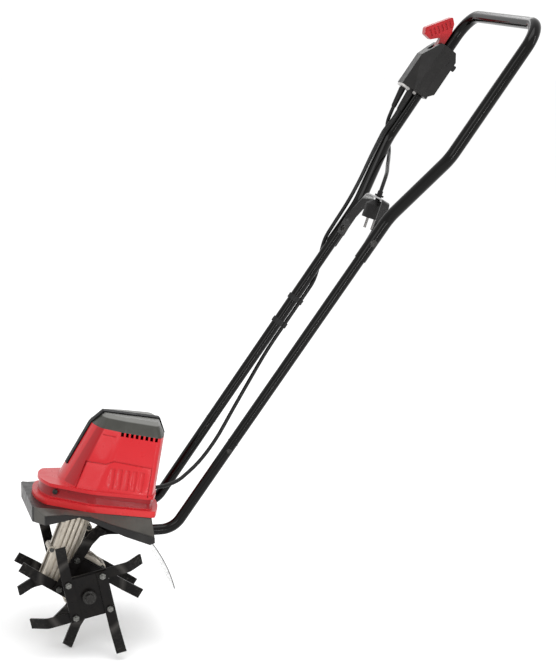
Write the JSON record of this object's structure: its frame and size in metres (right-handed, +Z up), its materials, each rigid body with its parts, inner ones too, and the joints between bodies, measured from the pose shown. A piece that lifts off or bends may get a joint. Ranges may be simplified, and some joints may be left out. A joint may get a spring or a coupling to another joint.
{
  "type": "electric garden tiller",
  "caption": "Corded electric garden tiller: four steel tine stars on a worm-driven shaft, red motor hood, tubular U handle with a squeeze switch.",
  "frame": {"origin": "centre of the machine's bounding box in plan, on the ground under the lowest tine tips; the free power lead and plug are left out of the box", "axes": "+Z up, +X from the tines rearwards to the operator, +Y across the machine to the side that carries the switch box"},
  "size_m": [0.9062, 0.4095, 1.0971],
  "materials": {
    "tine_steel": "black paint worn at the blade ends",
    "zinc": "bright zinc-plated fasteners",
    "shaft_steel": "ground steel",
    "cast_aluminium": "raw die casting, light satin",
    "bronze": "machined bronze",
    "copper": "enamelled copper",
    "laminations": "stacked electrical steel",
    "carbon": "graphite block",
    "spring_steel": "coiled wire",
    "black_tube": "gloss black powder coat",
    "band_grey": "grey metallic strap",
    "red_hood": "glossy moulded red",
    "grey_cover": "satin grey-black moulding",
    "guard_plastic": "satin dark grey moulding",
    "black_plastic": "fine-textured black moulding",
    "light_plastic": "light grey moulding",
    "red_lever": "red moulding",
    "cord_pvc": "black flexible sheath",
    "rubber": "moulded rubber",
    "clear_sheet": "clear flexible plastic sheet"
  },
  "bodies": {
    "machine": {"gear_housing_near": "cast_aluminium", "gear_housing_far": "cast_aluminium", "gear_housing_screws": "zinc", "tine_shaft_bearings": "bronze", "shaft_seals": "rubber", "drive_bearings": "shaft_steel", "motor_stator": "laminations", "field_coils": "copper", "motor_lower_bracket": "cast_aluminium", "motor_upper_bracket": "black_plastic", "brush_holders": "bronze", "carbon_brushes": "carbon", "brush_springs": "spring_steel", "motor_hood": "red_hood", "top_cover": "grey_cover", "front_spine": "grey_cover", "tine_guard": "guard_plastic", "tube_clamps": "black_plastic", "rear_flap": "clear_sheet", "lower_tube_near": "black_tube", "lower_tube_far": "black_tube", "mid_tube_near": "black_tube", "mid_tube_far": "black_tube", "body_screws": "zinc", "upper_handle": "black_tube", "cable_bracket": "band_grey", "handle_bolts": "zinc", "switch_box_near": "black_plastic", "switch_box_far": "black_plastic", "switch_box_screws": "zinc", "gland_plate": "light_plastic", "cord_reliefs": "rubber", "switch_module": "light_plastic", "lever_pin": "shaft_steel", "button_spring": "spring_steel", "lever_spring": "spring_steel", "plug_body": "rubber", "plug_pins": "zinc", "motor_cable": "cord_pvc", "power_lead": "cord_pvc", "cable_clips": "black_plastic", "cable_grommet": "rubber"},
    "tines": {"tine_shaft": "shaft_steel", "tine_hub_near": "tine_steel", "tine_hub_far": "tine_steel", "tines_outer_near": "tine_steel", "tines_outer_far": "tine_steel", "tines_inner_near": "tine_steel", "tines_inner_far": "tine_steel", "tine_bolts": "zinc", "hub_fasteners": "zinc", "worm_wheel": "bronze"},
    "motor_rotor": {"armature_shaft": "shaft_steel", "armature_core": "laminations", "armature_windings": "copper", "commutator": "copper", "cooling_fan": "black_plastic", "worm": "shaft_steel"},
    "lever": {"switch_lever": "red_lever"},
    "button": {"lock_off_button": "black_plastic"}
  },
  "joints": [
    {"name": "tine_spin", "type": "hinge", "parent": "machine", "child": "tines", "pos_m": [-0.34192, -0.00784, 0.11116], "axis": [0, -1, 0], "continuous": true},
    {"name": "motor_spin", "type": "hinge", "parent": "machine", "child": "motor_rotor", "pos_m": [-0.38225, -0.00784, 0.12746], "axis": [0.3746, 0, 0.9272], "continuous": true},
    {"name": "lever_squeeze", "type": "hinge", "parent": "machine", "child": "lever", "pos_m": [0.37844, 0.1777, 1.02945], "axis": [-0.0067, 0.9999, -0.0094], "range_deg": [0, 8], "stiffness_Nm_per_rad": 1.2, "springref_deg": -14.32, "deforming": ["lever_spring"]},
    {"name": "lock_off_press", "type": "slide", "parent": "machine", "child": "button", "axis": [-0.815, 0, 0.5795], "range_m": [0, 0.004], "stiffness_N_per_m": 450, "springref_m": -0.003, "deforming": ["button_spring"]}
  ],
  "couplings": [
    {"joint": "motor_spin", "follows": "tine_spin", "ratio": 40}
  ]
}
